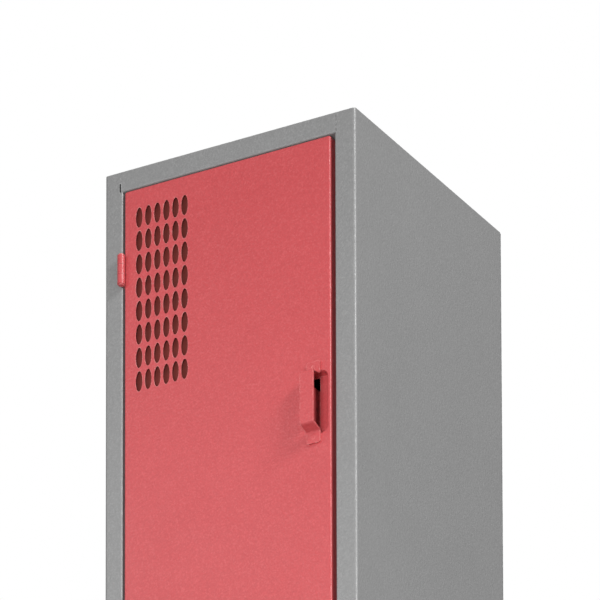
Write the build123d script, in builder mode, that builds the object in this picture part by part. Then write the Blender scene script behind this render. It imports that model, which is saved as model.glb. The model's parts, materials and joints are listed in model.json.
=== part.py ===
"""Two-tier sheet-steel school locker, in millimetres.

Origin: centre of the bounding box at floor level. +Z is up, the doors face -Y, +X is the latch side.
Carcass parts stay still, and each door turns about the pins of its own two hinges.
"""

from build123d import *

import os

# Overall size of the carcass
WIDTH = 380.0
DEPTH = 395.0
HEIGHT = 1800.0

# Sheet metal
SHEET = 1.2
BEND = 2.5
CORNER_BEND = 4.0
HINGE_SIDE_SEAM = 0.15
LATCH_SIDE_SEAM = 0.6
LIP_GAP = 0.6

# Front frame
HINGE_POST_WIDTH = 26.4
LATCH_POST_WIDTH = 31.0
TOP_RAIL_HEIGHT = 30.0
MIDDLE_RAIL_HEIGHT = 44.0
BASE_RAIL_TOP = 110.0
JAMB_DEPTH = 21.0
STOP_WIDTH = 16.0
REAR_FLANGE = 14.0
RELIEF_SLIT_WIDTH = 2.0
RELIEF_SLIT_HEIGHT = 13.0

# Feet
GROUND_GAP = 6.0
FOOT_RADIUS = 16.0
STUD_RADIUS = 4.0
BRACKET_SIZE = 52.0
BRACKET_SHEET = 2.5
BRACKET_BOTTOM = 12.0
NUT_FLATS = 13.0
NUT_HEIGHT = 6.5
STUD_LENGTH = 26.0

# Doors
HINGE_GAP = 3.2
LATCH_GAP = 7.0
END_GAP = 1.6
DOOR_DEPTH = 18.0
DOOR_LIP = 24.5
DOOR_CORNER = 3.0

# Vents: columns counted from the hinge side, rows from the top
VENT_COLUMNS = 6
VENT_ROWS = 8
VENT_WIDTH = 10.4
VENT_HEIGHT = 30.5
VENT_PITCH_X = 13.8
VENT_PITCH_Z = 35.3
VENT_FROM_EDGE = 22.3
VENT_FROM_TOP = 44.4

# Baffle behind the vents, open at its top and bottom
BAFFLE_DEPTH = 6.0
BAFFLE_MARGIN = 10.0
BAFFLE_FLANGE = 6.0
BAFFLE_OVERHANG = 30.0

# Hand recess and strap handle
RECESS_WIDTH = 31.0
RECESS_HEIGHT = 93.0
RECESS_DEPTH = 13.0
RECESS_CORNER = 10.0
RECESS_RIM = 2.2
RECESS_FROM_EDGE = 5.2
HANDLE_FROM_TOP = 396.4
HANDLE_HEIGHT = 122.0
HANDLE_TAB = 17.0
HANDLE_RUN = 4.5
HANDLE_WIDTH = 20.0
HANDLE_SHEET = 2.5
HANDLE_BEND = 3.4
HANDLE_PROJECTION = 21.0
HANDLE_FROM_EDGE = 24.9
RIVET_RADIUS = 2.4
RIVET_HEAD_RADIUS = 3.6
RIVET_HEAD_HEIGHT = 0.9

# Hinges
HINGE_FROM_END = 120.0
KNUCKLE_LENGTH = 14.2
KNUCKLE_GAP = 0.5
KNUCKLE_RADIUS = 5.2
PIN_RADIUS = 3.0
PIN_CLEARANCE = 0.05
PIN_HEAD_RADIUS = 4.4
PIN_HEAD_HEIGHT = 1.3
PIN_HEAD_GAP = 0.4
LEAF_SHEET = 1.2
LEAF_DEPTH = 16.0
HINGE_STANDOFF = 5.8

# Padlock staple
STAPLE_SHEET = 3.0
STAPLE_HEIGHT = 58.0
STAPLE_REACH = 12.5
STAPLE_EYE_RADIUS = 4.5
STAPLE_FROM_STOP = 22.3
SLOT_CLEARANCE = 1.6
SLOT_WIDTH = 11.4
SLOT_HEIGHT = 86.0

# Magnetic catch, strike plate and rubber buffers
CATCH_FROM_TOP = 62.0
CATCH_HEIGHT = 46.0
CATCH_WIDTH = 16.0
CATCH_DEPTH = 14.0
MAGNET_WIDTH = 8.0
MAGNET_HEIGHT = 22.0
MAGNET_GAP = 0.4
STRIKE_WIDTH = 18.0
STRIKE_HEIGHT = 44.0
CATCH_RIVET_SPACING = 28.0
STRIKE_RIVET_SPACING = 34.0
STRIKE_RIVET_RADIUS = 1.6
BUFFER_RADIUS = 4.0
BUFFER_HEIGHT = 2.4
BUFFER_FROM_END = 24.0

# Stiffener channel behind the door skin
STIFFENER_WIDTH = 34.0
STIFFENER_FLANGE = 13.0
STIFFENER_DEPTH = 13.0
STIFFENER_END = 26.0
STIFFENER_X = 18.0

# Shelf, floor and coat hooks
TRAY_FLANGE = 18.0
TRAY_SIDE_GAP = 0.4
HOOK_ROD = 2.5
HOOK_BALL = 4.2
SIDE_HOOK_DROP = 160.0
HOOK_PLATE = 2.0

# Wall fixing holes in the back panel
FIXING_RADIUS = 4.5
FIXING_SPACING_X = 260.0
FIXING_SPACING_Z = 1200.0
FIXING_CENTRE_Z = 1000.0

# Planes and edges that follow from the sizes above
FRONT = (HANDLE_PROJECTION - DEPTH) / 2
BACK = FRONT + DEPTH
SIDE = WIDTH / 2
INNER_SIDE = SIDE - SHEET
HINGE_JAMB = SIDE - HINGE_POST_WIDTH
LATCH_JAMB = SIDE - LATCH_POST_WIDTH
HINGE_STOP_EDGE = HINGE_JAMB - STOP_WIDTH
LATCH_STOP_EDGE = LATCH_JAMB - STOP_WIDTH
STOP_FACE = FRONT + JAMB_DEPTH
STOP_BACK = STOP_FACE + SHEET
REAR_FLANGE_FACE = BACK - SHEET
SHELL_BACK = REAR_FLANGE_FACE - SHEET
OPENING_HEIGHT = (HEIGHT - TOP_RAIL_HEIGHT - MIDDLE_RAIL_HEIGHT - BASE_RAIL_TOP) / 2
LOWER_OPENING = BASE_RAIL_TOP
MIDDLE_RAIL_BOTTOM = LOWER_OPENING + OPENING_HEIGHT
TOP_RAIL_BOTTOM = HEIGHT - TOP_RAIL_HEIGHT
UPPER_OPENING = MIDDLE_RAIL_BOTTOM + MIDDLE_RAIL_HEIGHT
DOOR_LEFT = -HINGE_JAMB + HINGE_GAP
DOOR_RIGHT = LATCH_JAMB - LATCH_GAP
DOOR_WIDTH = DOOR_RIGHT - DOOR_LEFT
DOOR_X = (DOOR_LEFT + DOOR_RIGHT) / 2
DOOR_HEIGHT = OPENING_HEIGHT - 2 * END_GAP
DOOR_BACK = FRONT + DOOR_DEPTH
HINGE_X = -HINGE_JAMB + HINGE_GAP / 2
HINGE_Y = FRONT - HINGE_STANDOFF
HANDLE_X = DOOR_RIGHT - HANDLE_FROM_EDGE
RECESS_X = DOOR_RIGHT - RECESS_FROM_EDGE - RECESS_WIDTH / 2
FIRST_VENT_X = DOOR_LEFT + VENT_FROM_EDGE
LAST_VENT_X = FIRST_VENT_X + VENT_PITCH_X * (VENT_COLUMNS - 1)
STAPLE_X = LATCH_STOP_EDGE - STAPLE_FROM_STOP
CATCH_RIGHT = LATCH_STOP_EDGE - 0.4
CATCH_X = CATCH_RIGHT - CATCH_WIDTH / 2
CATCH_RIVET_X = LATCH_STOP_EDGE + 5.0
LOWER_DOOR_TOP = LOWER_OPENING + END_GAP + DOOR_HEIGHT
UPPER_DOOR_TOP = UPPER_OPENING + END_GAP + DOOR_HEIGHT
FLOOR_TOP = BASE_RAIL_TOP - 3.0
SHELF_TOP = UPPER_OPENING - 3.0


def facing_front(y):
    """Plane at depth y with X to the right, Z up and its normal towards the front."""
    return Plane(origin=(0, y, 0), x_dir=(1, 0, 0), z_dir=(0, -1, 0))


def save(piece, name):
    """Label a finished piece and write it as its own STEP file."""
    piece.part.label = name
    export_step(piece.part, f"parts/{name}.step")


def folded_strip(points, sheet=SHEET, bend=BEND):
    """Closed profile of bent sheet on the left of the points, with one bend radius or one each."""
    with BuildSketch() as strip:
        with BuildLine():
            FilletPolyline(*points, radius=bend)
            offset(amount=sheet, side=Side.LEFT)
        make_face()
    return strip.sketch


def cut_box(low, high):
    """Remove the box between two corners from the part being built."""
    size = [b - a for a, b in zip(low, high)]
    middle = tuple((a + b) / 2 for a, b in zip(low, high))
    with Locations(middle):
        Box(*size, mode=Mode.SUBTRACT)


def add_box(low, high):
    """Add the box between two corners to the part being built."""
    size = [b - a for a, b in zip(low, high)]
    middle = tuple((a + b) / 2 for a, b in zip(low, high))
    with Locations(middle):
        Box(*size)


def side_panel(name, hand):
    """Side sheet folded in one with its rear flange, front post, jamb and door stop."""
    jamb = HINGE_JAMB if hand == "left" else LATCH_JAMB
    stop_edge = jamb - STOP_WIDTH
    path = [
        (-SIDE + REAR_FLANGE, REAR_FLANGE_FACE),
        (-SIDE, REAR_FLANGE_FACE),
        (-SIDE, FRONT),
        (-jamb, FRONT),
        (-jamb, STOP_FACE),
        (-stop_edge, STOP_FACE),
    ]
    profile = folded_strip(path, bend=[BEND, CORNER_BEND, BEND, BEND])
    rail_zones = [
        (GROUND_GAP - 1, BASE_RAIL_TOP),
        (MIDDLE_RAIL_BOTTOM, UPPER_OPENING),
        (TOP_RAIL_BOTTOM, HEIGHT + 1),
    ]
    fold_start = -jamb - BEND
    with BuildPart() as panel:
        with BuildSketch(Plane.XY.offset(GROUND_GAP)):
            add(profile)
        extrude(amount=HEIGHT - GROUND_GAP)
        # The jamb is cut away where a rail butts against the edge of the post face.
        for low_z, high_z in rail_zones:
            cut_box((fold_start, FRONT - 1, low_z - 0.2), (-stop_edge + 1, STOP_BACK + 1, high_z + 0.2))
        # The top panel sits inside the outer skin, so the inner folds stop below it.
        top = HEIGHT - SHEET - 0.1
        cut_box((-INNER_SIDE + 0.1, FRONT + SHEET + 0.05, top), (-stop_edge + 1, BACK, HEIGHT + 1))
        if hand == "left":
            slit_low = (fold_start - RELIEF_SLIT_WIDTH, FRONT - 1, TOP_RAIL_BOTTOM - 0.2)
            cut_box(slit_low, (fold_start, FRONT + 2, TOP_RAIL_BOTTOM + RELIEF_SLIT_HEIGHT))
        else:
            mirror(about=Plane.YZ, mode=Mode.REPLACE)
            with BuildSketch(facing_front(STOP_FACE)):
                with Locations(*catch_rivet_places(LOWER_DOOR_TOP), *catch_rivet_places(UPPER_DOOR_TOP)):
                    Circle(RIVET_RADIUS)
            extrude(amount=-SHEET, mode=Mode.SUBTRACT)
    save(panel, name)


def catch_rivet_places(top):
    """X and Z of the two rivets that hold a catch case to the right-hand stop."""
    z = top - CATCH_FROM_TOP
    return [(CATCH_RIVET_X, z + end * CATCH_RIVET_SPACING / 2) for end in (-1, 1)]


def strike_rivet_places(top):
    """X and Z of the two flush rivets that hold a strike plate to its door."""
    z = top - CATCH_FROM_TOP
    return [(CATCH_X, z + end * STRIKE_RIVET_SPACING / 2) for end in (-1, 1)]


def front_rail(name, path, lips):
    """Rail folded along X between the post faces, its door-stop lips cut short at the post stops."""
    left = -HINGE_JAMB - BEND + HINGE_SIDE_SEAM
    right = LATCH_JAMB + BEND - LATCH_SIDE_SEAM
    ends = [(left - 1, -HINGE_STOP_EDGE + LIP_GAP), (LATCH_STOP_EDGE - LIP_GAP, right + 1)]
    profile = folded_strip(path)
    with BuildPart() as rail:
        with BuildSketch(Plane.YZ.offset(left)):
            add(profile)
        extrude(amount=right - left)
        for low_z, high_z in lips:
            for low_x, high_x in ends:
                cut_box((low_x, STOP_FACE - BEND - 0.5, low_z), (high_x, STOP_BACK + 1, high_z))
    save(rail, name)


def front_rails():
    """Top, middle and base rails, each with a lip that the doors close against."""
    top_path = [
        (FRONT, HEIGHT),
        (FRONT, TOP_RAIL_BOTTOM),
        (STOP_FACE, TOP_RAIL_BOTTOM),
        (STOP_FACE, TOP_RAIL_BOTTOM - STOP_WIDTH),
    ]
    top_lip = (TOP_RAIL_BOTTOM - STOP_WIDTH - 1, TOP_RAIL_BOTTOM)
    front_rail("top_rail", top_path, [top_lip])
    middle_path = [
        (STOP_FACE, UPPER_OPENING + STOP_WIDTH),
        (STOP_FACE, UPPER_OPENING),
        (FRONT, UPPER_OPENING),
        (FRONT, MIDDLE_RAIL_BOTTOM),
        (STOP_FACE, MIDDLE_RAIL_BOTTOM),
        (STOP_FACE, MIDDLE_RAIL_BOTTOM - STOP_WIDTH),
    ]
    lower_lip = (MIDDLE_RAIL_BOTTOM - STOP_WIDTH - 1, MIDDLE_RAIL_BOTTOM)
    upper_lip = (UPPER_OPENING, UPPER_OPENING + STOP_WIDTH + 1)
    front_rail("middle_rail", middle_path, [lower_lip, upper_lip])
    base_path = [
        (STOP_FACE, BASE_RAIL_TOP + STOP_WIDTH),
        (STOP_FACE, BASE_RAIL_TOP),
        (FRONT, BASE_RAIL_TOP),
        (FRONT, GROUND_GAP),
        (FRONT + REAR_FLANGE, GROUND_GAP),
    ]
    base_lip = (BASE_RAIL_TOP, BASE_RAIL_TOP + STOP_WIDTH + 1)
    front_rail("base_rail", base_path, [base_lip])


def top_panel():
    """Top sheet with turned-down edges, flush inside the sides, the back and the front frame."""
    edge = INNER_SIDE - 0.2
    under = HEIGHT - SHEET
    drop = HEIGHT - TRAY_FLANGE
    front_edge = FRONT + SHEET + 0.1
    back_edge = REAR_FLANGE_FACE - 0.1
    profile = folded_strip([(edge, drop), (edge, HEIGHT), (-edge, HEIGHT), (-edge, drop)])
    with BuildPart() as panel:
        with BuildSketch(facing_front(back_edge)):
            add(profile)
        extrude(amount=back_edge - front_edge)
        for end in (-1, 1):
            inner = end * (LATCH_STOP_EDGE - 4)
            outer = end * (SIDE + 1)
            low_x, high_x = min(inner, outer), max(inner, outer)
            cut_box((low_x, front_edge - 1, drop - 1), (high_x, STOP_BACK + 2, under))
            cut_box((low_x, SHELL_BACK - BEND, drop - 1), (high_x, BACK, under))
    save(panel, "top_panel")


def tray(name, top):
    """Flat sheet with all four edges turned down, between the sides and behind the front frame."""
    front_edge = STOP_BACK + 0.3
    back_edge = SHELL_BACK - 0.3
    half = INNER_SIDE - TRAY_SIDE_GAP
    with BuildPart() as shelf:
        with Locations((0, (front_edge + back_edge) / 2, top - TRAY_FLANGE / 2)):
            Box(2 * half, back_edge - front_edge, TRAY_FLANGE)
        fillet(shelf.edges().filter_by(Axis.Z), BEND)
        fillet(shelf.faces().sort_by(Axis.Z)[-1].edges(), BEND)
        offset(amount=-SHEET, openings=shelf.faces().sort_by(Axis.Z)[0])
    save(shelf, name)


def back_panel():
    """Full-height rear sheet over the rear flanges, with four wall fixing holes."""
    half = SIDE - 0.6
    low = GROUND_GAP
    with BuildPart() as panel:
        with BuildSketch(facing_front(BACK)):
            with Locations((0, (low + HEIGHT) / 2)):
                RectangleRounded(2 * half, HEIGHT - low, 1.0)
            with Locations((0, FIXING_CENTRE_Z)):
                with GridLocations(FIXING_SPACING_X, FIXING_SPACING_Z, 2, 2):
                    Circle(FIXING_RADIUS, mode=Mode.SUBTRACT)
        extrude(amount=SHEET)
    save(panel, "back_panel")


def rear_base_rail():
    """Channel across the back at floor level, open to the front."""
    half = INNER_SIDE - BEND
    rail_top = 70.0
    path = [
        (SHELL_BACK - REAR_FLANGE, GROUND_GAP),
        (SHELL_BACK, GROUND_GAP),
        (SHELL_BACK, rail_top),
        (SHELL_BACK - REAR_FLANGE, rail_top),
    ]
    profile = folded_strip(path)
    with BuildPart() as rail:
        with BuildSketch(Plane.YZ.offset(-half)):
            add(profile)
        extrude(amount=2 * half)
    save(rail, "rear_base_rail")


def feet():
    """Corner plates, levelling feet that screw through them, and their lock nuts."""
    plate = BRACKET_SIZE
    x = INNER_SIDE - TRAY_SIDE_GAP - plate / 2
    y_front = STOP_BACK + 1 + plate / 2
    y_rear = SHELL_BACK - REAR_FLANGE - 2 - plate / 2
    places = [(-x, y_front), (x, y_front), (-x, y_rear), (x, y_rear)]
    nut_bottom = BRACKET_BOTTOM + BRACKET_SHEET
    nut_radius = NUT_FLATS / 2
    with BuildPart() as brackets:
        with BuildSketch(Plane.XY.offset(BRACKET_BOTTOM)):
            with Locations(*places):
                RectangleRounded(plate, plate, 4)
            with Locations(*places):
                Circle(STUD_RADIUS + 0.3, mode=Mode.SUBTRACT)
        extrude(amount=BRACKET_SHEET)
        # Upturned flange along the side sheet, where each plate is welded.
        for px, py in places:
            hand = 1 if px > 0 else -1
            outer = hand * (abs(px) + plate / 2)
            inner = outer - hand * BRACKET_SHEET
            low = (min(inner, outer), py - plate / 2 + 4, nut_bottom - 0.5)
            add_box(low, (max(inner, outer), py + plate / 2 - 4, nut_bottom + 16))
    save(brackets, "foot_brackets")

    pad_height = GROUND_GAP + 1
    with BuildPart() as pads:
        with BuildSketch(Plane.XY):
            with Locations(*places):
                Circle(FOOT_RADIUS)
        extrude(amount=pad_height)
        rims = pads.edges().filter_by(GeomType.CIRCLE).group_by(Axis.Z)
        fillet(rims[-1], 2.5)
        fillet(rims[0], 1.0)
    save(pads, "foot_pads")

    with BuildPart() as studs:
        with BuildSketch(Plane.XY.offset(pad_height)):
            with Locations(*places):
                RegularPolygon(nut_radius, 6, major_radius=False)
        extrude(amount=BRACKET_BOTTOM - pad_height)
        with BuildSketch(Plane.XY.offset(BRACKET_BOTTOM)):
            with Locations(*places):
                Circle(STUD_RADIUS)
        extrude(amount=STUD_LENGTH)
        tips = studs.edges().filter_by(GeomType.CIRCLE).group_by(Axis.Z)[-1]
        chamfer(tips, 1.0)
    save(studs, "foot_studs")

    with BuildPart() as nuts:
        with BuildSketch(Plane.XY.offset(nut_bottom)):
            with Locations(*places):
                RegularPolygon(nut_radius, 6, major_radius=False)
            with Locations(*places):
                Circle(STUD_RADIUS, mode=Mode.SUBTRACT)
        extrude(amount=NUT_HEIGHT)
    save(nuts, "foot_nuts")


def door_panel(name, bottom):
    """Folded door pan with its vents, the pressed hand recess and the staple slot."""
    top = bottom + DOOR_HEIGHT
    middle = (bottom + top) / 2
    grip = top - HANDLE_FROM_TOP
    with BuildPart() as door:
        with Locations((DOOR_X, (FRONT + DOOR_BACK) / 2, middle)):
            Box(DOOR_WIDTH, DOOR_DEPTH, DOOR_HEIGHT)
        fillet(door.edges().filter_by(Axis.Y), DOOR_CORNER)
        fillet(door.faces().sort_by(Axis.Y)[0].edges(), BEND)
        offset(amount=-SHEET, openings=door.faces().sort_by(Axis.Y)[-1])
        # Return lips that turn inwards all round the rear of the pan.
        with BuildSketch(facing_front(DOOR_BACK)):
            with Locations((DOOR_X, middle)):
                RectangleRounded(DOOR_WIDTH - 0.4, DOOR_HEIGHT - 0.4, DOOR_CORNER - 0.2)
                Rectangle(DOOR_WIDTH - 2 * DOOR_LIP, DOOR_HEIGHT - 2 * DOOR_LIP, mode=Mode.SUBTRACT)
        extrude(amount=SHEET)
        # Hand recess: a drawn cup with leaning walls and a rolled rim.
        with BuildSketch(facing_front(FRONT)):
            with Locations((RECESS_X, grip)):
                RectangleRounded(RECESS_WIDTH + 2 * SHEET, RECESS_HEIGHT + 2 * SHEET, RECESS_CORNER)
        extrude(amount=-(RECESS_DEPTH + SHEET), taper=8)
        with BuildSketch(facing_front(FRONT)):
            with Locations((RECESS_X, grip)):
                RectangleRounded(RECESS_WIDTH, RECESS_HEIGHT, RECESS_CORNER)
        extrude(amount=-RECESS_DEPTH, taper=8, mode=Mode.SUBTRACT)
        rim = door.faces().sort_by(Axis.Y)[0].inner_wires()
        fillet(rim.edges(), RECESS_RIM)
        # Tall slot in the recess floor that the padlock staple passes through.
        slot_left = STAPLE_X - STAPLE_SHEET / 2 - SLOT_CLEARANCE
        slot_low = (slot_left, FRONT + RECESS_DEPTH - 1, grip - SLOT_HEIGHT / 2)
        cut_box(slot_low, (slot_left + SLOT_WIDTH, FRONT + RECESS_DEPTH + 3, grip + SLOT_HEIGHT / 2))
        # Vents
        centre_z = top - VENT_FROM_TOP - VENT_PITCH_Z * (VENT_ROWS - 1) / 2
        with BuildSketch(facing_front(FRONT)):
            with Locations(((FIRST_VENT_X + LAST_VENT_X) / 2, centre_z)):
                with GridLocations(VENT_PITCH_X, VENT_PITCH_Z, VENT_COLUMNS, VENT_ROWS):
                    Ellipse(VENT_WIDTH / 2, VENT_HEIGHT / 2)
        extrude(amount=-2 * SHEET, mode=Mode.SUBTRACT)
        # Rivet holes for the handle and the strike plate
        with BuildSketch(facing_front(FRONT)):
            with Locations(*handle_rivet_places(top)):
                Circle(RIVET_RADIUS)
        extrude(amount=-2 * SHEET, mode=Mode.SUBTRACT)
        with BuildSketch(facing_front(DOOR_BACK)):
            with Locations(*strike_rivet_places(top)):
                Circle(STRIKE_RIVET_RADIUS)
        extrude(amount=SHEET, mode=Mode.SUBTRACT)
    save(door, name)


def handle_rivet_places(top):
    """X and Z of the rivet in the middle of each handle tab."""
    grip = top - HANDLE_FROM_TOP
    reach = (HANDLE_HEIGHT - HANDLE_TAB) / 2
    return [(HANDLE_X, grip + reach), (HANDLE_X, grip - reach)]


def door_handle(tier, top):
    """Hat-shaped strap over the recess, and the rivets that hold it, flush in front."""
    grip = top - HANDLE_FROM_TOP
    outer = HANDLE_HEIGHT / 2
    foot = outer - HANDLE_TAB
    plate = foot - HANDLE_RUN
    proud = FRONT - HANDLE_PROJECTION
    skin = FRONT - HANDLE_SHEET
    path = [
        (skin, grip + outer),
        (skin, grip + foot),
        (proud, grip + plate),
        (proud, grip - plate),
        (skin, grip - foot),
        (skin, grip - outer),
    ]
    profile = folded_strip(path, HANDLE_SHEET, HANDLE_BEND)
    with BuildPart() as handle:
        with BuildSketch(Plane.YZ.offset(HANDLE_X - HANDLE_WIDTH / 2)):
            add(profile)
        extrude(amount=HANDLE_WIDTH)
        ends = handle.edges().filter_by(Axis.Y).group_by(Axis.Z)
        fillet(ends[0] + ends[-1], 3)
        with BuildSketch(facing_front(skin)):
            with Locations(*handle_rivet_places(top)):
                Circle(RIVET_RADIUS)
        extrude(amount=-HANDLE_SHEET, mode=Mode.SUBTRACT)
    save(handle, f"{tier}_door_handle")

    with BuildPart() as rivets:
        with BuildSketch(facing_front(FRONT + SHEET)):
            with Locations(*handle_rivet_places(top)):
                Circle(RIVET_RADIUS)
        extrude(amount=SHEET + HANDLE_SHEET)
        with BuildSketch(facing_front(FRONT + SHEET + RIVET_HEAD_HEIGHT)):
            with Locations(*handle_rivet_places(top)):
                Circle(RIVET_HEAD_RADIUS)
        extrude(amount=RIVET_HEAD_HEIGHT)
        heads = rivets.edges().filter_by(GeomType.CIRCLE).group_by(Axis.Y)
        fillet(heads[-1], RIVET_HEAD_HEIGHT * 0.7)
    save(rivets, f"{tier}_handle_rivets")


def door_stiffener(tier, bottom):
    """Hat-section channel spot-welded behind the door skin."""
    length = DOOR_HEIGHT - 2 * STIFFENER_END
    skin = FRONT + SHEET
    crest = skin + STIFFENER_DEPTH
    half = STIFFENER_WIDTH / 2
    path = [
        (STIFFENER_X + half + STIFFENER_FLANGE, skin + SHEET),
        (STIFFENER_X + half, skin + SHEET),
        (STIFFENER_X + half - 3, crest),
        (STIFFENER_X - half + 3, crest),
        (STIFFENER_X - half, skin + SHEET),
        (STIFFENER_X - half - STIFFENER_FLANGE, skin + SHEET),
    ]
    profile = folded_strip(path, SHEET, 2.0)
    with BuildPart() as channel:
        with BuildSketch(Plane.XY.offset(bottom + STIFFENER_END)):
            add(profile)
        extrude(amount=length)
    save(channel, f"{tier}_door_stiffener")


def vent_baffle(tier, top):
    """Plate behind the vents that keeps things from being pushed in; air passes above and below."""
    skin = FRONT + SHEET
    crest = skin + BAFFLE_DEPTH
    left = FIRST_VENT_X - BAFFLE_MARGIN
    right = LAST_VENT_X + BAFFLE_MARGIN
    low_z = top - VENT_FROM_TOP - VENT_PITCH_Z * (VENT_ROWS - 1) - BAFFLE_OVERHANG
    path = [
        (right + BAFFLE_FLANGE, skin + SHEET),
        (right, skin + SHEET),
        (right, crest),
        (left, crest),
        (left, skin + SHEET),
        (left - BAFFLE_FLANGE, skin + SHEET),
    ]
    profile = folded_strip(path, SHEET, 1.6)
    with BuildPart() as baffle:
        with BuildSketch(Plane.XY.offset(low_z)):
            add(profile)
        extrude(amount=top - VENT_FROM_TOP + BAFFLE_OVERHANG - low_z)
    save(baffle, f"{tier}_vent_baffle")


def hinge_centres(bottom):
    return [bottom + HINGE_FROM_END, bottom + DOOR_HEIGHT - HINGE_FROM_END]


def knuckle(z_low, z_high, leaf_x, bore):
    """One barrel segment and the neck that joins it to a leaf in the gap."""
    with BuildSketch(Plane.XY.offset(z_low)) as outline:
        with Locations((HINGE_X, HINGE_Y)):
            Circle(KNUCKLE_RADIUS)
        with Locations((leaf_x, (HINGE_Y + FRONT + 1.5) / 2)):
            Rectangle(LEAF_SHEET, FRONT + 1.5 - HINGE_Y)
        with Locations((HINGE_X, HINGE_Y)):
            Circle(bore, mode=Mode.SUBTRACT)
    extrude(outline.sketch, amount=z_high - z_low)


def hinges(tier, bottom):
    """Two three-knuckle hinges: frame leaves, door leaves, and the pins that stay with the frame."""
    pitch = KNUCKLE_LENGTH + KNUCKLE_GAP
    half = KNUCKLE_LENGTH / 2
    barrel_half = pitch + half
    frame_x = -HINGE_JAMB + LEAF_SHEET / 2
    door_x = DOOR_LEFT - LEAF_SHEET / 2
    leaf_front = FRONT + 1.0
    with BuildPart() as frame_leaves:
        for z in hinge_centres(bottom):
            knuckle(z - half, z + half, frame_x, PIN_RADIUS)
            low = (frame_x - LEAF_SHEET / 2, leaf_front, z - barrel_half)
            add_box(low, (frame_x + LEAF_SHEET / 2, leaf_front + LEAF_DEPTH, z + barrel_half))
    save(frame_leaves, f"{tier}_hinge_frame_leaves")

    with BuildPart() as door_leaves:
        for z in hinge_centres(bottom):
            for offset_z in (-pitch, pitch):
                knuckle(z + offset_z - half, z + offset_z + half, door_x, PIN_RADIUS + PIN_CLEARANCE)
            low = (door_x - LEAF_SHEET / 2, leaf_front, z - barrel_half)
            add_box(low, (door_x + LEAF_SHEET / 2, leaf_front + LEAF_DEPTH, z + barrel_half))
    save(door_leaves, f"{tier}_hinge_door_leaves")

    with BuildPart() as pins:
        head = barrel_half + PIN_HEAD_GAP
        for z in hinge_centres(bottom):
            with BuildSketch(Plane.XY.offset(z - head)):
                with Locations((HINGE_X, HINGE_Y)):
                    Circle(PIN_RADIUS)
            extrude(amount=2 * head)
            with BuildSketch(Plane.XY.offset(z + head)):
                with Locations((HINGE_X, HINGE_Y)):
                    Circle(PIN_HEAD_RADIUS)
            extrude(amount=PIN_HEAD_HEIGHT, taper=30)
            with BuildSketch(Plane.XY.offset(z - head)):
                with Locations((HINGE_X, HINGE_Y)):
                    Circle(PIN_HEAD_RADIUS)
            extrude(amount=-PIN_HEAD_HEIGHT, taper=30)
    save(pins, f"{tier}_hinge_pins")


def padlock_staple(tier, top):
    """Bent flat bar on the back of the right-hand stop, its eye reaching through the recess slot."""
    grip = top - HANDLE_FROM_TOP
    arm_back = STOP_BACK + STAPLE_SHEET
    tip = FRONT - STAPLE_REACH
    left = STAPLE_X - STAPLE_SHEET / 2
    profile = folded_strip([(LATCH_JAMB - 1, arm_back), (left, arm_back), (left, tip)], STAPLE_SHEET, 4.5)
    with BuildPart() as staple:
        with BuildSketch(Plane.XY.offset(grip - STAPLE_HEIGHT / 2)):
            add(profile)
        extrude(amount=STAPLE_HEIGHT)
        nose = staple.edges().filter_by(Axis.X).group_by(Axis.Y)[0]
        fillet(nose, 9)
        with BuildSketch(Plane.YZ.offset(left - 1)):
            with Locations((tip + 7.5, grip)):
                Circle(STAPLE_EYE_RADIUS)
        extrude(amount=STAPLE_SHEET + 2, mode=Mode.SUBTRACT)
    save(staple, f"{tier}_padlock_staple")


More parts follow.
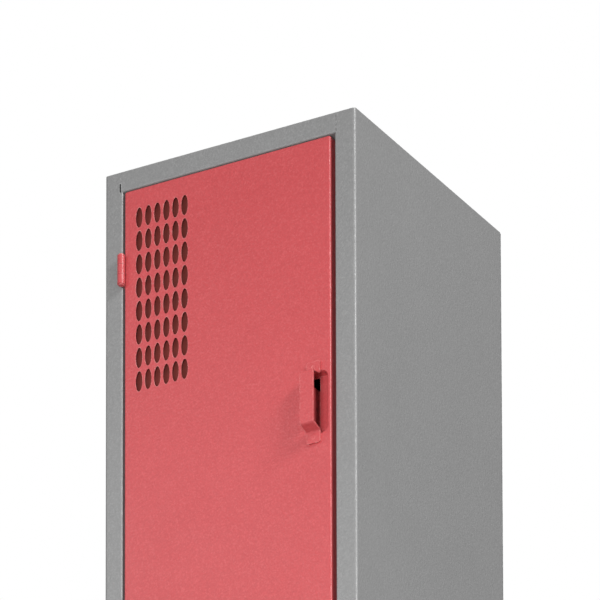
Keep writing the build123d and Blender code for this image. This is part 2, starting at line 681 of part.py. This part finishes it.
def magnetic_catch(tier, top):
    """Catch case riveted behind the stop, its magnet, and the strike plate riveted to the door."""
    z = top - CATCH_FROM_TOP
    strike_back = DOOR_BACK + SHEET
    magnet_face = strike_back + MAGNET_GAP
    case_front = magnet_face + 0.6
    flange_back = STOP_BACK + 2
    low_z = z - CATCH_HEIGHT / 2
    high_z = z + CATCH_HEIGHT / 2
    magnet_low = (CATCH_X - MAGNET_WIDTH / 2, magnet_face, z - MAGNET_HEIGHT / 2)
    magnet_high = (CATCH_X + MAGNET_WIDTH / 2, case_front + 8, z + MAGNET_HEIGHT / 2)
    with BuildPart() as case:
        add_box((CATCH_RIGHT - CATCH_WIDTH, case_front, low_z), (CATCH_RIGHT, case_front + CATCH_DEPTH, high_z))
        fillet(case.edges(), 1.2)
        add_box((CATCH_RIGHT - 2, STOP_BACK, low_z + 3), (LATCH_JAMB - 1, flange_back, high_z - 3))
        cut_box(magnet_low, magnet_high)
        with BuildSketch(facing_front(STOP_BACK)):
            with Locations(*catch_rivet_places(top)):
                Circle(RIVET_RADIUS)
        extrude(amount=-2, mode=Mode.SUBTRACT)
    save(case, f"{tier}_catch_case")

    with BuildPart() as magnet:
        add_box(magnet_low, magnet_high)
        chamfer(magnet.faces().sort_by(Axis.Y)[0].edges(), 0.5)
    save(magnet, f"{tier}_catch_magnet")

    with BuildPart() as case_rivets:
        with BuildSketch(facing_front(flange_back)):
            with Locations(*catch_rivet_places(top)):
                Circle(RIVET_RADIUS)
        extrude(amount=flange_back - STOP_FACE)
        for plane in (facing_front(STOP_FACE), facing_front(flange_back + RIVET_HEAD_HEIGHT)):
            with BuildSketch(plane):
                with Locations(*catch_rivet_places(top)):
                    Circle(RIVET_HEAD_RADIUS)
            extrude(amount=RIVET_HEAD_HEIGHT)
        heads = case_rivets.edges().filter_by(GeomType.CIRCLE).group_by(Axis.Y)
        fillet(heads[0] + heads[-1], RIVET_HEAD_HEIGHT * 0.7)
    save(case_rivets, f"{tier}_catch_rivets")

    with BuildPart() as strike:
        with BuildSketch(facing_front(strike_back)):
            with Locations((CATCH_X, z)):
                RectangleRounded(STRIKE_WIDTH, STRIKE_HEIGHT, 2.5)
            with Locations(*strike_rivet_places(top)):
                Circle(STRIKE_RIVET_RADIUS, mode=Mode.SUBTRACT)
        extrude(amount=SHEET)
    save(strike, f"{tier}_strike_plate")

    with BuildPart() as strike_rivets:
        with BuildSketch(facing_front(strike_back)):
            with Locations(*strike_rivet_places(top)):
                Circle(STRIKE_RIVET_RADIUS)
        extrude(amount=2 * SHEET)
        with BuildSketch(facing_front(DOOR_BACK - SHEET)):
            with Locations(*strike_rivet_places(top)):
                Circle(STRIKE_RIVET_RADIUS + 1.2)
        extrude(amount=0.8)
    save(strike_rivets, f"{tier}_strike_rivets")


def door_buffers(tier, bottom):
    """Rubber buffers on the right-hand stop, near the top and the bottom of the door."""
    x = LATCH_STOP_EDGE + BUFFER_RADIUS + 0.4
    places = [(x, bottom + BUFFER_FROM_END), (x, bottom + DOOR_HEIGHT - BUFFER_FROM_END)]
    with BuildPart() as buffers:
        with BuildSketch(facing_front(STOP_FACE)):
            with Locations(*places):
                Circle(BUFFER_RADIUS)
        extrude(amount=BUFFER_HEIGHT)
        fronts = buffers.edges().filter_by(GeomType.CIRCLE).group_by(Axis.Y)[0]
        fillet(fronts, 1.6)
    save(buffers, f"{tier}_door_buffers")


def rod_hook(points, start_direction):
    """Round rod along a bent path, with a ball at its tip."""
    with BuildLine() as path:
        FilletPolyline(*points, radius=7)
    with BuildSketch(Plane(origin=points[0], z_dir=start_direction)) as section:
        Circle(HOOK_ROD)
    sweep(section.sketch, path=path.line)
    with Locations(points[-1]):
        Sphere(HOOK_BALL)


def coat_hooks(tier, ceiling):
    """A double hook under the ceiling and one single hook on each side wall."""
    y = (STOP_BACK + SHELL_BACK) / 2
    with BuildPart() as double_hook:
        add_box((-24, y - 11, ceiling - HOOK_PLATE), (24, y + 11, ceiling))
        fillet(double_hook.edges().filter_by(Axis.Z), 5)
        stem_top = ceiling - HOOK_PLATE
        for hand in (-1, 1):
            points = [
                (hand * 5, y, stem_top + 0.5),
                (hand * 5, y, stem_top - 34),
                (hand * 34, y, stem_top - 40),
                (hand * 40, y, stem_top - 16),
            ]
            rod_hook(points, (0, 0, -1))
    save(double_hook, f"{tier}_double_hook")

    wall_z = ceiling - SIDE_HOOK_DROP
    with BuildPart() as single_hooks:
        for hand in (-1, 1):
            wall = hand * INNER_SIDE
            inner = wall - hand * HOOK_PLATE
            low = (min(wall, inner), y - 9, wall_z - 20)
            add_box(low, (max(wall, inner), y + 9, wall_z + 20))
            points = [
                (inner + hand * 0.5, y, wall_z + 8),
                (inner - hand * 14, y, wall_z - 2),
                (inner - hand * 28, y, wall_z - 4),
                (inner - hand * 34, y, wall_z + 16),
            ]
            direction = (points[1][0] - points[0][0], 0, points[1][2] - points[0][2])
            rod_hook(points, direction)
    save(single_hooks, f"{tier}_side_hooks")


def tier_parts(tier, opening_bottom, ceiling):
    """Everything that repeats for each door and compartment."""
    bottom = opening_bottom + END_GAP
    top = bottom + DOOR_HEIGHT
    door_panel(f"{tier}_door_panel", bottom)
    door_stiffener(tier, bottom)
    vent_baffle(tier, top)
    door_handle(tier, top)
    hinges(tier, bottom)
    padlock_staple(tier, top)
    magnetic_catch(tier, top)
    door_buffers(tier, bottom)
    coat_hooks(tier, ceiling)


os.makedirs("parts", exist_ok=True)
side_panel("left_side_panel", "left")
side_panel("right_side_panel", "right")
back_panel()
top_panel()
front_rails()
rear_base_rail()
tray("middle_shelf", SHELF_TOP)
tray("floor_panel", FLOOR_TOP)
feet()
tier_parts("upper", UPPER_OPENING, HEIGHT - SHEET)
tier_parts("lower", LOWER_OPENING, SHELF_TOP - SHEET)
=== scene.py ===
"""Looks of the two-tier school locker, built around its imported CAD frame. Metres, +Z up, doors face -Y."""

import json
import math
import random

import bmesh
import bpy
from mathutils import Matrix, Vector


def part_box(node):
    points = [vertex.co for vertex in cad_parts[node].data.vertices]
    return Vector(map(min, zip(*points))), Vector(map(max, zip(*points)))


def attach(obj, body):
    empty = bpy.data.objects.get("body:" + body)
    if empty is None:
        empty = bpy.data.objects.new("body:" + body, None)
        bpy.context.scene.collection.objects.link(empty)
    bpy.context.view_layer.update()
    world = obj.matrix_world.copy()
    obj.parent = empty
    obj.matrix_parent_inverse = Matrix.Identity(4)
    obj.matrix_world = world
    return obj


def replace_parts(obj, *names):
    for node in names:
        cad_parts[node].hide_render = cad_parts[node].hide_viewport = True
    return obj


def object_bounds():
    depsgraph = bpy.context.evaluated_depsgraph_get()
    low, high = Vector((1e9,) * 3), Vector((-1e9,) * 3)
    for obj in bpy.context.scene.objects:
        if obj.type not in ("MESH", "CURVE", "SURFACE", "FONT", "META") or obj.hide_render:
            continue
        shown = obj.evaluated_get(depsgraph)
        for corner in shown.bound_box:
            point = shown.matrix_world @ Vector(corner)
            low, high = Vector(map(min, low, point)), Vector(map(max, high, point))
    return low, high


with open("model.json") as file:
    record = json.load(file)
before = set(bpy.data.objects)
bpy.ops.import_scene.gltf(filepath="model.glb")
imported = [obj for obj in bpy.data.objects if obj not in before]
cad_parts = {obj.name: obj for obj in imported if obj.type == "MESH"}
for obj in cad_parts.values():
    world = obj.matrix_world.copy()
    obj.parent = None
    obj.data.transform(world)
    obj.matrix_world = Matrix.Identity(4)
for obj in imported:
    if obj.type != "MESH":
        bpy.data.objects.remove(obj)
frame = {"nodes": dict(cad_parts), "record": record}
cad_low, cad_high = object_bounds()

SEED = 11
TIERS = ("upper", "lower")
MM = 0.001
SHEET = 0.0012
REAR_FLANGE = 0.014
STIFFENER_FLANGE = 0.013
BAFFLE_FLANGE = 0.006
STUD_THREAD_RADIUS = 4.0 * MM
STUD_THREAD_PITCH = 1.25 * MM
STUD_THREAD_DEPTH = 0.62 * MM
STUD_HEX_FLAT = 6.5 * MM
BEAD_STEP = 0.0004
BEAD_RIPPLE = 0.0019
FLOOR_RADIUS = 1.55

# Camera: long lens, looking up from low on the right-hand side
LENS = 1500.0
AZIMUTH = math.radians(29.53)
RISE = math.radians(28.97)
ROLL = math.radians(-0.15)
SENSOR_WIDTH = 36.0
CLIP_END = 80.0
AIM_DISTANCE = 32.95
AIM_RIGHT = 0.0724
AIM_UP = 0.2546

# Colours, linear
GREY_COAT = (0.239, 0.239, 0.239)
RED_COAT = (0.525, 0.0725, 0.0795)
ZINC = (0.55, 0.56, 0.57)
RUBBER = (0.012, 0.012, 0.013)
BLACK_PLASTIC = (0.018, 0.018, 0.019)
FERRITE = (0.035, 0.034, 0.036)
# Vent baffle primer: an oxide-red primer, made extra dark as painted shade so the vents read as dark holes.
OXIDE_PRIMER_DARKENED_AS_SHADE = (0.138, 0.0155, 0.0095)
# The two edge colours below are painted highlights, laid along the bends by powder_coat.
GREY_EDGE_HIGHLIGHT = (0.56, 0.56, 0.56)
RED_EDGE_HIGHLIGHT = (0.86, 0.42, 0.40)
ZINC_TINT = (0.56, 0.52, 0.40)

# Lights: bearing in degrees round the cabinet (0 front, 90 right), distance, height, aim height, size, power
SKY_FILL = 0.18
LIGHTS = {
    "front": (15, 2.6, 0.75, 1.1, 0.9, 48.5),
    "side": (66, 5.2, 4.4, 1.4, 1.6, 240.0),
    "flank": (100, 6.0, 1.9, 1.3, 2.4, 106.0),
    "card": (-30, 1.5, 1.65, 1.4, 0.9, 4.0),
    "rear": (205, 4.5, 1.0, 0.9, 2.2, 260.0),
    "overhead": (180, 0.7, 4.6, 1.8, 2.0, 60.0),
}


# ---------------------------------------------------------------- node helpers

class Shader:
    """A material with short calls for adding and linking nodes."""

    def __init__(self, name):
        self.material = bpy.data.materials.new(name)
        self.material.use_nodes = True
        self.nodes = self.material.node_tree.nodes
        self.links = self.material.node_tree.links
        self.bsdf = self.nodes["Principled BSDF"]
        self.place = self.add("ShaderNodeTexCoord").outputs["Object"]

    def add(self, kind, **settings):
        node = self.nodes.new(kind)
        for key, value in settings.items():
            setattr(node, key, value)
        return node

    def link(self, source, target):
        self.links.new(source, target)

    def noise(self, scale, detail=3.0, roughness=0.5, stretch=(1, 1, 1)):
        """Noise over the piece's own coordinates, in cells per metre."""
        mapping = self.add("ShaderNodeMapping")
        mapping.inputs["Scale"].default_value = stretch
        self.link(self.place, mapping.inputs["Vector"])
        noise = self.add("ShaderNodeTexNoise")
        noise.inputs["Scale"].default_value = scale
        noise.inputs["Detail"].default_value = detail
        noise.inputs["Roughness"].default_value = roughness
        self.link(mapping.outputs["Vector"], noise.inputs["Vector"])
        return noise.outputs["Fac"]

    def ramp(self, value, low, high, low_out=0.0, high_out=1.0):
        """Value rescaled from low..high to low_out..high_out, clamped."""
        node = self.add("ShaderNodeMapRange", clamp=True)
        limits = {"From Min": low, "From Max": high, "To Min": low_out, "To Max": high_out}
        for socket, number in limits.items():
            node.inputs[socket].default_value = number
        self.link(value, node.inputs["Value"])
        return node.outputs["Result"]

    def math(self, operation, a, b):
        node = self.add("ShaderNodeMath", operation=operation)
        for socket, value in zip(node.inputs, (a, b)):
            if isinstance(value, (int, float)):
                socket.default_value = value
            else:
                self.link(value, socket)
        return node.outputs["Value"]

    def mix(self, factor, a, b):
        """Colour a where factor is 0 and b where it is 1."""
        node = self.add("ShaderNodeMix", data_type="RGBA")
        self.link(factor, node.inputs["Factor"])
        for socket, value in ((node.inputs["A"], a), (node.inputs["B"], b)):
            if isinstance(value, tuple):
                socket.default_value = (*value[:3], 1.0)
            else:
                self.link(value, socket)
        return node.outputs["Result"]

    def bump(self, height, strength, distance, under=None):
        node = self.add("ShaderNodeBump")
        node.inputs["Strength"].default_value = strength
        node.inputs["Distance"].default_value = distance
        self.link(height, node.inputs["Height"])
        if under is not None:
            self.link(under, node.inputs["Normal"])
        return node.outputs["Normal"]

    def edges(self, radius):
        """0 on flat faces, rising to 1 on sharp outer and inner edges."""
        bevel = self.add("ShaderNodeBevel", samples=6)
        bevel.inputs["Radius"].default_value = radius
        geometry = self.add("ShaderNodeNewGeometry")
        dot = self.add("ShaderNodeVectorMath", operation="DOT_PRODUCT")
        self.link(bevel.outputs["Normal"], dot.inputs[0])
        self.link(geometry.outputs["Normal"], dot.inputs[1])
        return self.ramp(dot.outputs["Value"], 0.995, 0.86)

    def finish(self, colour, roughness, normal):
        self.link(colour, self.bsdf.inputs["Base Color"])
        self.link(roughness, self.bsdf.inputs["Roughness"])
        self.link(normal, self.bsdf.inputs["Normal"])
        return self.material


def scaled(colour, factor):
    return tuple(min(1.0, c * factor) for c in colour)


# ---------------------------------------------------------------- materials

def powder_coat(name, colour, edge_highlight_colour, mottling, edge_highlight_amount):
    """Sprayed powder coat: orange peel, mottled film thickness, a painted highlight (lighter broken lines
    along the edges, for light caught on the bends) and a few pale specks whose whiteness is a painted sheen.
    """
    s = Shader(name)
    cloud = s.ramp(s.noise(5.0, 4.0), 0.3, 0.7)
    base = s.mix(cloud, scaled(colour, 0.975), scaled(colour, 1.025))
    mottle = s.ramp(s.noise(260.0, 3.0, 0.6), 0.32, 0.68, 0.0, mottling)
    base = s.mix(mottle, base, scaled(colour, 0.70))
    # Pale specks: random specks in the coat, shifted towards white as a painted sheen glint.
    pale = s.ramp(s.noise(420.0, 2.0), 0.50, 0.74, 0.0, mottling * 1.2)
    base = s.mix(pale, base, tuple(c * 1.15 + 0.06 for c in colour))
    # Painted highlight: edges lightened towards a pale colour, broken up by noise, standing in for light
    # caught on the bends.
    edges = s.edges(1.6 * MM)
    edge_highlight_breakup = s.ramp(s.noise(170.0, 4.0, 0.7), 0.44, 0.60, 0.05, edge_highlight_amount)
    base = s.mix(s.math("MULTIPLY", edges, edge_highlight_breakup), base, edge_highlight_colour)
    smudge = s.ramp(s.noise(14.0, 5.0, 0.65), 0.35, 0.75, 0.0, 0.09)
    grain = s.ramp(s.noise(300.0, 2.0), 0.3, 0.7, 0.29, 0.39)
    roughness = s.math("ADD", grain, smudge)
    waves = s.bump(s.noise(3.5, 2.0), 0.25, 0.004)
    peel = s.bump(s.noise(310.0, 2.0, 0.45), 0.9, 0.0006, waves)
    fine = s.bump(s.noise(1100.0, 1.0), 0.15, 0.0001, peel)
    s.bsdf.inputs["Specular IOR Level"].default_value = 0.5
    return s.finish(base, roughness, fine)


def primer_coat(name, colour):
    """Dull brushed-on primer with thin and thick patches."""
    s = Shader(name)
    patch = s.ramp(s.noise(40.0, 5.0, 0.6), 0.35, 0.68)
    base = s.mix(patch, scaled(colour, 0.86), scaled(colour, 1.12))
    streak = s.ramp(s.noise(380.0, 3.0, stretch=(1, 1, 0.12)), 0.4, 0.7, 0.0, 0.25)
    base = s.mix(streak, base, scaled(colour, 1.35))
    roughness = s.ramp(s.noise(240.0, 2.0), 0.3, 0.7, 0.66, 0.82)
    normal = s.bump(s.noise(520.0, 3.0, stretch=(1, 1, 0.2)), 0.3, 0.0002)
    return s.finish(base, roughness, normal)


def zinc_plate(name):
    """Bright zinc: soft spangle, drawn grain and dull handling marks."""
    s = Shader(name)
    spangle = s.ramp(s.noise(60.0, 4.0), 0.35, 0.65)
    base = s.mix(spangle, scaled(ZINC, 0.85), scaled(ZINC, 1.1))
    tint = s.ramp(s.noise(18.0, 2.0), 0.5, 0.75, 0.0, 0.35)
    base = s.mix(tint, base, ZINC_TINT)
    roughness = s.ramp(s.noise(220.0, 4.0, stretch=(1, 1, 0.08)), 0.3, 0.7, 0.24, 0.42)
    normal = s.bump(s.noise(500.0, 3.0, stretch=(1, 1, 0.08)), 0.18, 0.0002)
    s.bsdf.inputs["Metallic"].default_value = 1.0
    return s.finish(base, roughness, normal)


def soft_black(name, colour, grain, low, high):
    """Moulded rubber or plastic with a fine grain and dusty high spots."""
    s = Shader(name)
    dust = s.ramp(s.noise(45.0, 5.0, 0.6), 0.45, 0.75, 0.0, 0.3)
    base = s.mix(dust, colour, scaled(colour, 3.0))
    roughness = s.ramp(s.noise(grain, 2.0), 0.3, 0.7, low, high)
    normal = s.bump(s.noise(grain, 2.0), 0.25, 0.0003)
    return s.finish(base, roughness, normal)


MATERIALS = {
    "grey_powder_coat": powder_coat("grey_powder_coat", GREY_COAT, GREY_EDGE_HIGHLIGHT, 0.30, 0.9),
    "red_powder_coat": powder_coat("red_powder_coat", RED_COAT, RED_EDGE_HIGHLIGHT, 0.30, 0.6),
    # The baffle primer's dark colour is painted shade seen through the vents.
    "oxide_primer": primer_coat("oxide_primer", OXIDE_PRIMER_DARKENED_AS_SHADE),
    "zinc_steel": zinc_plate("zinc_steel"),
    "black_rubber": soft_black("black_rubber", RUBBER, 700.0, 0.62, 0.82),
    "black_plastic": soft_black("black_plastic", BLACK_PLASTIC, 950.0, 0.42, 0.58),
    "ferrite": soft_black("ferrite", FERRITE, 1300.0, 0.5, 0.7),
}


def dress_cad_nodes():
    """Give every CAD node the material of its slot in the record."""
    for part in frame["record"]["subparts"]:
        node = frame["nodes"][part["node"]]
        material = MATERIALS[part["material_slot"]]
        if not node.material_slots:
            node.data.materials.append(material)
        for slot in node.material_slots:
            slot.material = material


# ---------------------------------------------------------------- small detail built here

def new_piece(name, shape, slot, body):
    """Finish a bmesh as a smooth-shaded piece in a slot's material, riding on a body."""
    mesh = bpy.data.meshes.new(name)
    bmesh.ops.recalc_face_normals(shape, faces=shape.faces)
    shape.to_mesh(mesh)
    shape.free()
    mesh.shade_smooth()
    mesh.materials.append(MATERIALS[slot])
    piece = bpy.data.objects.new(name, mesh)
    bpy.context.collection.objects.link(piece)
    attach(piece, body)
    return piece


def ring(x, z, radius, steps):
    """Points of a circle, as pairs."""
    turns = (math.tau * step / steps for step in range(steps))
    return [(x + math.cos(turn) * radius, z + math.sin(turn) * radius) for turn in turns]


def ring_skin(shape, rings):
    """Join closed rings of points, all of one length, into a skin, capping both ends."""
    loops = [[shape.verts.new(point) for point in ring] for ring in rings]
    count = len(loops[0])
    for before, after in zip(loops, loops[1:]):
        for i in range(count):
            j = (i + 1) % count
            shape.faces.new((before[i], before[j], after[j], after[i]))
    shape.faces.new(loops[0])
    shape.faces.new(loops[-1])


def spot_welds(name, places, radius, slot, body):
    """Electrode marks on sheets that face +Y: a shallow dish inside a raised lip."""
    lip = ((1.0, -0.04), (0.86, 0.10), (0.72, 0.24), (0.58, 0.20), (0.45, 0.09), (0.2, 0.06))
    shape = bmesh.new()
    for x, y, z in places:
        size = radius * random.uniform(0.92, 1.08)
        rings = []
        for share, rise in lip:
            circle = ring(x, z, size * share, 18)
            rings.append([(across, y + rise * MM, up) for across, up in circle])
        ring_skin(shape, rings)
    return new_piece(name, shape, slot, body)


def weld_beads(name, runs, radius, slot, body):
    """Rippled fillet welds, each along a straight run between two points."""
    shape = bmesh.new()
    for start, end in runs:
        start, end = Vector(start), Vector(end)
        along = (end - start).normalized()
        side = along.orthogonal().normalized()
        other = along.cross(side)
        length = (end - start).length
        count = int(length / BEAD_STEP)
        rings = []
        for step in range(count + 1):
            share = step / count
            ripple = 0.86 + 0.14 * abs(math.sin(math.pi * share * length / BEAD_RIPPLE))
            taper = min(1.0, math.sqrt(max(0.02, min(share, 1 - share) * length / radius)))
            size = radius * ripple * taper * random.uniform(0.97, 1.03)
            centre = start + along * share * length
            turns = [math.tau * i / 12 for i in range(12)]
            rings.append([centre + (side * math.cos(t) + other * math.sin(t)) * size for t in turns])
        ring_skin(shape, rings)
    return new_piece(name, shape, slot, body)


def threaded_studs():
    """Levelling studs with a hexagon foot and a rolled thread, in place of the plain ones."""
    low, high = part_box("foot_studs")
    hex_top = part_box("foot_brackets")[0].z
    hex_corner = STUD_HEX_FLAT / math.cos(math.pi / 6)
    chamfer = 0.5 * MM
    shape = bmesh.new()
    for x in (low.x + hex_corner, high.x - hex_corner):
        for y in (low.y + STUD_HEX_FLAT, high.y - STUD_HEX_FLAT):
            outline = []
            for z, size in ((low.z, 1.0), (hex_top - chamfer, 1.0), (hex_top, 0.93)):
                outline.append([(px, py, z) for px, py in ring(x, y, hex_corner * size, 6)])
            ring_skin(shape, outline)
            ring_skin(shape, thread_rings(x, y, hex_top, high.z))
    studs = new_piece("threaded_studs", shape, "zinc_steel", "carcass")
    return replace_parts(studs, "foot_studs")


def thread_rings(x, y, low, high, steps=24):
    """Rings up a threaded rod, chamfered over its last millimetre."""
    rings = []
    count = int((high - low) / (STUD_THREAD_PITCH / 8))
    for level in range(count + 1):
        z = low + (high - low) * level / count
        points = []
        for step in range(steps):
            turn = math.tau * step / steps
            phase = (z / STUD_THREAD_PITCH - step / steps) % 1.0
            groove = STUD_THREAD_DEPTH * (1 - abs(2 * phase - 1))
            lead_in = max(0.0, z - (high - 1.0 * MM))
            size = STUD_THREAD_RADIUS - groove - lead_in * 0.8
            points.append((x + math.cos(turn) * size, y + math.sin(turn) * size, z))
        rings.append(points)
    return rings


def spaced(low, high, pitch, margin):
    """Heights from low to high, a margin in from each end, at about the given pitch."""
    count = max(1, round((high - low - 2 * margin) / pitch))
    step = (high - low - 2 * margin) / count
    return [low + margin + step * i for i in range(count + 1)]


def flange_welds(tier, piece, flange, pitch, margin, radius):
    """Spot welds down both side flanges of a pressing inside a door."""
    low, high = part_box(f"{tier}_{piece}")
    places = []
    for x in (low.x + flange / 2, high.x - flange / 2):
        places += [(x, low.y + SHEET, z) for z in spaced(low.z, high.z, pitch, margin)]
    name = f"{tier}_{piece.split('_')[-1]}_spot_welds"
    spot_welds(name, places, radius, "red_powder_coat", f"{tier}_door")


def sheet_joins():
    """Spot welds and fillet welds that hold the pressings together."""
    back_low, back_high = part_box("back_panel")
    rear = [
        (side * (cad_high.x - REAR_FLANGE / 2), back_high.y, z)
        for side in (-1, 1)
        for z in spaced(back_low.z, back_high.z, 0.15, 0.03)
    ]
    spot_welds("rear_spot_welds", rear, 3.4 * MM, "grey_powder_coat", "carcass")
    for tier in TIERS:
        flange_welds(tier, "door_stiffener", STIFFENER_FLANGE, 0.11, 0.02, 3.0 * MM)
        flange_welds(tier, "vent_baffle", BAFFLE_FLANGE, 0.075, 0.015, 2.2 * MM)
    plate_low, plate_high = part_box("foot_brackets")
    bead = 0.028
    runs = []
    for side in (-1, 1):
        x = side * plate_high.x
        for y in (plate_low.y + 0.012, plate_high.y - 0.040):
            runs.append(((x, y, plate_high.z), (x, y + bead, plate_high.z)))
    weld_beads("foot_bracket_welds", runs, 1.3 * MM, "grey_powder_coat", "carcass")


# ---------------------------------------------------------------- stage, light and camera

def soft_floor():
    """A pale round floor that fades out at its rim."""
    mesh = bpy.data.meshes.new("floor")
    shape = bmesh.new()
    bmesh.ops.create_circle(shape, cap_ends=True, radius=FLOOR_RADIUS, segments=96)
    shape.to_mesh(mesh)
    shape.free()
    floor = bpy.data.objects.new("floor", mesh)
    bpy.context.collection.objects.link(floor)
    s = Shader("floor")
    length = s.add("ShaderNodeVectorMath", operation="LENGTH")
    s.link(s.place, length.inputs[0])
    shown = s.ramp(length.outputs["Value"], 0.55, 1.5, 1.0, 0.0)
    s.link(shown, s.bsdf.inputs["Alpha"])
    tone = s.ramp(s.noise(30.0, 4.0), 0.3, 0.7)
    base = s.mix(tone, (0.80, 0.80, 0.80), (0.84, 0.84, 0.84))
    s.link(base, s.bsdf.inputs["Base Color"])
    s.bsdf.inputs["Roughness"].default_value = 0.7
    mesh.materials.append(s.material)


def white_world():
    """White backdrop to the eye, dimmer as a light."""
    world = bpy.data.worlds.new("studio")
    bpy.context.scene.world = world
    world.use_nodes = True
    nodes, links = world.node_tree.nodes, world.node_tree.links
    backdrop = nodes["Background"]
    backdrop.inputs["Color"].default_value = (1, 1, 1, 1)
    backdrop.inputs["Strength"].default_value = 1.0
    fill = nodes.new("ShaderNodeBackground")
    fill.inputs["Color"].default_value = (1, 1, 1, 1)
    fill.inputs["Strength"].default_value = SKY_FILL
    path = nodes.new("ShaderNodeLightPath")
    choose = nodes.new("ShaderNodeMixShader")
    links.new(path.outputs["Is Camera Ray"], choose.inputs["Fac"])
    links.new(fill.outputs["Background"], choose.inputs[1])
    links.new(backdrop.outputs["Background"], choose.inputs[2])
    links.new(choose.outputs["Shader"], nodes["World Output"].inputs["Surface"])


def area_light(name, bearing, distance, height, aim_height, size, power):
    """Square soft light at a bearing round the cabinet, aimed at a height on its middle line."""
    light = bpy.data.lights.new(name, "AREA")
    light.shape = "SQUARE"
    light.size = size
    light.energy = power
    lamp = bpy.data.objects.new(name, light)
    bpy.context.collection.objects.link(lamp)
    turn = math.radians(bearing)
    lamp.location = (math.sin(turn) * distance, -math.cos(turn) * distance, height)
    back = lamp.location - Vector((0, 0, aim_height))
    lamp.rotation_euler = back.to_track_quat("Z", "Y").to_euler()


def camera():
    """Long-lens camera placed from the right-hand front top corner of the cabinet."""
    data = bpy.data.cameras.new("camera")
    data.lens = LENS
    data.sensor_width = SENSOR_WIDTH
    data.clip_end = CLIP_END
    eye = bpy.data.objects.new("camera", data)
    bpy.context.collection.objects.link(eye)
    away = math.cos(RISE)
    forward = Vector((-math.sin(AZIMUTH) * away, math.cos(AZIMUTH) * away, math.sin(RISE)))
    level = Vector((math.cos(AZIMUTH), math.sin(AZIMUTH), 0.0))
    upward = level.cross(forward)
    right = level * math.cos(ROLL) + upward * math.sin(ROLL)
    up = right.cross(forward)
    corner = Vector((cad_high.x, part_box("right_side_panel")[0].y, cad_high.z))
    eye.location = corner - right * AIM_RIGHT - up * AIM_UP - forward * AIM_DISTANCE
    matrix = eye.matrix_world.to_3x3()
    matrix.col[0], matrix.col[1], matrix.col[2] = right, up, -forward
    eye.rotation_euler = matrix.to_euler()
    bpy.context.scene.camera = eye


def studio():
    soft_floor()
    white_world()
    for name, placing in LIGHTS.items():
        area_light(name, *placing)
    view = bpy.context.scene.view_settings
    view.view_transform = "Standard"
    camera()


random.seed(SEED)
dress_cad_nodes()
threaded_studs()
sheet_joins()
studio()
